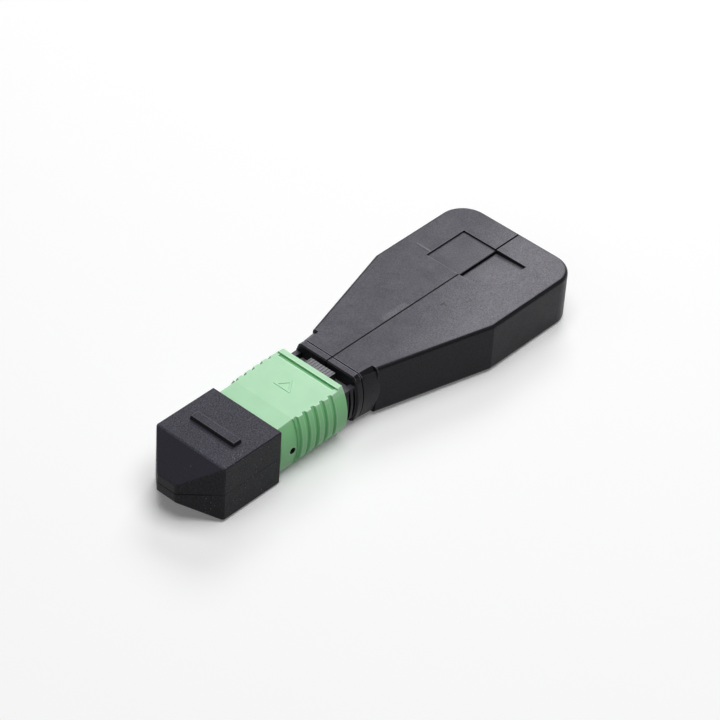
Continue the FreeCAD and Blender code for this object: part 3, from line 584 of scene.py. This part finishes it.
# Painted shade on walls, rounded edges and hollows, and painted highlight on upper corners;
# a painted sheen grows paler towards the far right corner.
shell_black = moulded_plastic(
    "shell_black", SHELL_BLACK, 0.33, grain=0.15 * MM, depth=0.010 * MM, mottle=0.20,
    speckle=0.5, specular=0.13, tint=BLUISH, sheen_drift=(*SHELL_SHEEN_SPAN, SHELL_SHEEN), walls=SHELL_WALL_SHADE,
    marks=SHELL_MARKS, edges=(0.36, 0.93, SHELL_EDGE_SHADE),
    painted_crest_highlight=(0.15 * MM, SHELL_CREST_HIGHLIGHT, HIGHLIGHT_ABOVE), hollows=(0.40 * MM, PITCH_AND_SHADE),
    seam=(SEAM_HALF, PITCH_AND_SHADE))
dress("shell_left", shell_black)
dress("shell_right", shell_black)

# ---- Ferrule, potting, boot and spacer ------------------------------------------------------
# The glass-filled ferrule, the amber resin in its window, the soft boot round the ribbon and
# the plate between ferrule and spring. Twelve bare glass fibre ends stand in a row in the
# ferrule's face, glued in and polished with it.
FIBRES = 12
FIBRE_PITCH = 0.25 * MM
FIBRE_RADIUS = 0.0625 * MM
FIBRE_LENGTH = 0.4 * MM
FIBRE_STEP = 0.01 * MM          # the ends stand out of the face by this much
FIBRE_SIDES = 20
FIBRE_CLOUD = 0.05 * MM
FERRULE_GREY = (0.10, 0.10, 0.105)
AMBER = (0.55, 0.38, 0.16)
BOOT_BLACK = (0.12, 0.12, 0.13)
SPACER_IVORY = (0.75, 0.74, 0.70)
GLASS_DEEP = (0.62, 0.66, 0.66)
GLASS_BRIGHT = (0.74, 0.78, 0.78)
ferrule_face_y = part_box("mt_ferrule")[0].y
dress("mt_ferrule", moulded_plastic("ferrule_grey", FERRULE_GREY, 0.32, grain=0.05 * MM,
                                    speckle=0.5, depth=0.002 * MM))
dress("ferrule_potting", moulded_plastic("epoxy", AMBER, 0.12, grain=0.3 * MM,
                                         depth=0.001 * MM, speckle=0.05))
dress("ferrule_boot", moulded_plastic("boot_rubber", BOOT_BLACK, 0.7, grain=0.1 * MM))
dress("pin_spacer", moulded_plastic("spacer_plastic", SPACER_IVORY, 0.4, speckle=0.05))


def new_tree(name, sizes, counts=()):
    """A Geometry Nodes tree with named inputs, a way to add to it, its inputs and its end."""
    tree = bpy.data.node_groups.new(name, "GeometryNodeTree")
    tree.interface.new_socket("Geometry", in_out="OUTPUT", socket_type="NodeSocketGeometry")
    tree.interface.new_socket("Geometry", in_out="INPUT", socket_type="NodeSocketGeometry")
    for size in sizes:
        tree.interface.new_socket(size, in_out="INPUT", socket_type="NodeSocketFloat")
    for count in counts:
        tree.interface.new_socket(count, in_out="INPUT", socket_type="NodeSocketInt")

    def make(kind, sockets=(), **settings):
        """Add a node: its kind, what goes into its sockets, and its settings."""
        node = tree.nodes.new(kind)
        for setting, value in settings.items():
            setattr(node, setting, value)
        for socket, value in dict(sockets).items():
            if isinstance(value, bpy.types.NodeSocket):
                tree.links.new(value, node.inputs[socket])
            else:
                node.inputs[socket].default_value = value
        return node

    return tree, make, make("NodeGroupInput").outputs


def finish_tree(tree, make, geometry, material):
    """The usual end of a tree: plain geometry in one material, shaded smooth."""
    real = make("GeometryNodeRealizeInstances", {"Geometry": geometry})
    smooth = make("GeometryNodeSetShadeSmooth", {"Geometry": real.outputs[0]})
    coloured = make("GeometryNodeSetMaterial", {"Geometry": smooth.outputs[0],
                                                "Material": material})
    tree.links.new(coloured.outputs[0], make("NodeGroupOutput").inputs[0])


def grown(name, tree, sizes):
    """The plain mesh object that a tree gives for these sizes."""
    start = add_object(name + "_start", bpy.data.meshes.new(name + "_start"))
    modifier = start.modifiers.new("growth", "NODES")
    modifier.node_group = tree
    for socket in tree.interface.items_tree:
        if socket.in_out == "INPUT" and socket.name in sizes:
            modifier[socket.identifier] = sizes[socket.name]
    graph = bpy.context.evaluated_depsgraph_get()
    mesh = bpy.data.meshes.new_from_object(start.evaluated_get(graph))
    start.modifiers.clear()
    bpy.data.objects.remove(start)
    mesh.name = name
    return add_object(name, mesh)


glass = Finish("fibre_glass")
glass.surface.inputs["Specular IOR Level"].default_value = 0.6
glass_cloud = glass.spread(glass.noise(FIBRE_CLOUD), 0.4, 0.6)
fibre_glass = glass.done(glass.mix(glass_cloud, GLASS_DEEP, GLASS_BRIGHT),
                         glass.spread(glass_cloud, 0, 1, 0.05, 0.09))

row_tree, row_node, row_in = new_tree("fibre_row", sizes=("Pitch", "Radius", "Length", "Middle"),
                                      counts=("Count",))
row_gaps = row_node("ShaderNodeMath", {0: row_in["Count"], 1: -1.0}, operation="ADD")
row_half = row_node("ShaderNodeMath", {0: row_gaps.outputs[0], 1: -0.5}, operation="MULTIPLY")
row_first = row_node("ShaderNodeMath", {0: row_half.outputs[0], 1: row_in["Pitch"]},
                     operation="MULTIPLY")
row_start = row_node("ShaderNodeCombineXYZ", {"X": row_first.outputs[0], "Y": row_in["Middle"],
                                              "Z": plug_axis_z})
row_step = row_node("ShaderNodeCombineXYZ", {"X": row_in["Pitch"]})
row_points = row_node("GeometryNodeMeshLine", {"Count": row_in["Count"],
                                               "Start Location": row_start.outputs[0],
                                               "Offset": row_step.outputs[0]})
row_fibre = row_node("GeometryNodeMeshCylinder", {"Vertices": FIBRE_SIDES,
                                                  "Radius": row_in["Radius"],
                                                  "Depth": row_in["Length"]})
row_set = row_node("GeometryNodeInstanceOnPoints", {"Points": row_points.outputs[0],
                                                    "Instance": row_fibre.outputs[0],
                                                    "Rotation": (math.pi / 2, 0, 0)})
finish_tree(row_tree, row_node, row_set.outputs[0], fibre_glass)
fibre_ends = grown("fibre_ends", row_tree, {
    "Count": FIBRES, "Pitch": FIBRE_PITCH, "Radius": FIBRE_RADIUS, "Length": FIBRE_LENGTH,
    "Middle": ferrule_face_y + FIBRE_LENGTH / 2 - FIBRE_STEP})
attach(fibre_ends, "ferrule")

# ---- Springs --------------------------------------------------------------------------------
# Drawn stainless wire with one closed turn at each end: a flattened coil behind the ferrule,
# seated on the spring push, and a small round one in each side, which the sleeve compresses.
CLOSED_TURNS = 2                # one at each end
POINTS_PER_TURN = 48
WIRE_SIDES = 10
FERRULE_WIRE = 0.45 * MM
FERRULE_SEAT_Y = -10.85 * MM    # where this end of the spring is seated
SIDE_WIRE = 0.22 * MM
SIDE_SEAT_Y = -10.65 * MM
STEEL_DULL = (0.40, 0.40, 0.42)
STEEL_BRIGHT = (0.46, 0.46, 0.48)
steel = Finish("spring_steel")
steel.surface.inputs["Metallic"].default_value = 1.0
drawn = steel.spread(steel.noise(0.08 * MM, 3), 0.35, 0.65)
spring_steel = steel.done(steel.mix(drawn, STEEL_DULL, STEEL_BRIGHT),
                          steel.spread(drawn, 0, 1, 0.24, 0.30))

coil_tree, coil_node, coil_in = new_tree(
    "spring_coil", sizes=("Half Width", "Half Height", "Wire", "Start", "Span", "Side"),
    counts=("Points", "Turns"))


def coil_math(operation, first, second=0.0):
    return coil_node("ShaderNodeMath", {0: first, 1: second}, operation=operation).outputs[0]


def coil_climb(turn, low, high, rise):
    """How far the wire has climbed on its way between two turns."""
    return coil_node("ShaderNodeMapRange", {"Value": turn, "From Min": low, "From Max": high,
                                            "To Min": 0.0, "To Max": rise}).outputs[0]


coil_line = coil_node("GeometryNodeCurvePrimitiveLine", {"Start": (0, 0, 0), "End": (0, 1, 0)})
coil_points = coil_node("GeometryNodeResampleCurve", {"Curve": coil_line.outputs[0],
                                                      "Count": coil_in["Points"]})
coil_along = coil_node("GeometryNodeSplineParameter").outputs["Factor"]
coil_all = coil_math("ADD", coil_in["Turns"], CLOSED_TURNS)
coil_last = coil_math("ADD", coil_in["Turns"], CLOSED_TURNS / 2)
coil_turn = coil_math("MULTIPLY", coil_along, coil_all)
coil_angle = coil_math("MULTIPLY", coil_turn, 2 * math.pi)
coil_ends = coil_math("MULTIPLY", coil_in["Wire"], CLOSED_TURNS + 1.0)
coil_free = coil_math("SUBTRACT", coil_in["Span"], coil_ends)
coil_rise = coil_math("ADD", coil_climb(coil_turn, 0.0, 1.0, coil_in["Wire"]),
                      coil_math("ADD", coil_climb(coil_turn, 1.0, coil_last, coil_free),
                                coil_climb(coil_turn, coil_last, coil_all, coil_in["Wire"])))
coil_wire_radius = coil_math("MULTIPLY", coil_in["Wire"], 0.5)
coil_x = coil_math("ADD", coil_in["Side"], coil_math("MULTIPLY", coil_in["Half Width"],
                                                     coil_math("COSINE", coil_angle)))
coil_y = coil_math("ADD", coil_math("ADD", coil_in["Start"], coil_rise), coil_wire_radius)
coil_z = coil_math("ADD", plug_axis_z, coil_math("MULTIPLY", coil_in["Half Height"],
                                                 coil_math("SINE", coil_angle)))
coil_place = coil_node("ShaderNodeCombineXYZ", {"X": coil_x, "Y": coil_y, "Z": coil_z})
coil_bent = coil_node("GeometryNodeSetPosition", {"Geometry": coil_points.outputs[0],
                                                  "Position": coil_place.outputs[0]})
coil_round = coil_node("GeometryNodeCurvePrimitiveCircle", {"Resolution": WIRE_SIDES,
                                                            "Radius": coil_wire_radius})
coil_wire = coil_node("GeometryNodeCurveToMesh", {"Curve": coil_bent.outputs[0],
                                                  "Profile Curve": coil_round.outputs[0],
                                                  "Fill Caps": True})
finish_tree(coil_tree, coil_node, coil_wire.outputs[0], spring_steel)

for spring, wire, turns, joint, seat_y, kept in (       # kept: its length at the joint's limit
        ("ferrule_spring", FERRULE_WIRE, 5, "ferrule_float", FERRULE_SEAT_Y, 0.80),
        ("coupling_spring_left", SIDE_WIRE, 7, "sleeve_slide", SIDE_SEAT_Y, 0.71),
        ("coupling_spring_right", SIDE_WIRE, 7, "sleeve_slide", SIDE_SEAT_Y, 0.71)):
    low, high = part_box(spring)
    coil = grown(spring + "_coil", coil_tree, {
        "Points": POINTS_PER_TURN * (turns + CLOSED_TURNS), "Turns": turns, "Wire": wire,
        "Half Width": (high.x - low.x - wire) / 2, "Half Height": (high.z - low.z - wire) / 2,
        "Start": low.y, "Span": high.y - low.y, "Side": (low.x + high.x) / 2})
    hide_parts(spring)
    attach(coil, "plug")
    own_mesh(coil)

# ---- Fibre ribbon and loops -----------------------------------------------------------------
# Twelve glass fibres in a clear aqua coating. They run flat in one ribbon through the plug and
# are joined in pairs by six loops, which lie loose in the hollow paddle.
LOOPS = 6
AQUA = (0.20, 0.72, 0.78)
coating = moulded_plastic("fibre_coating", AQUA, 0.25, depth=0.001 * MM, mottle=0.05,
                          speckle=0.05)
dress("fibre_ribbon", coating)
for loop in range(LOOPS):
    dress(f"fibre_loop_{loop + 1}", coating)
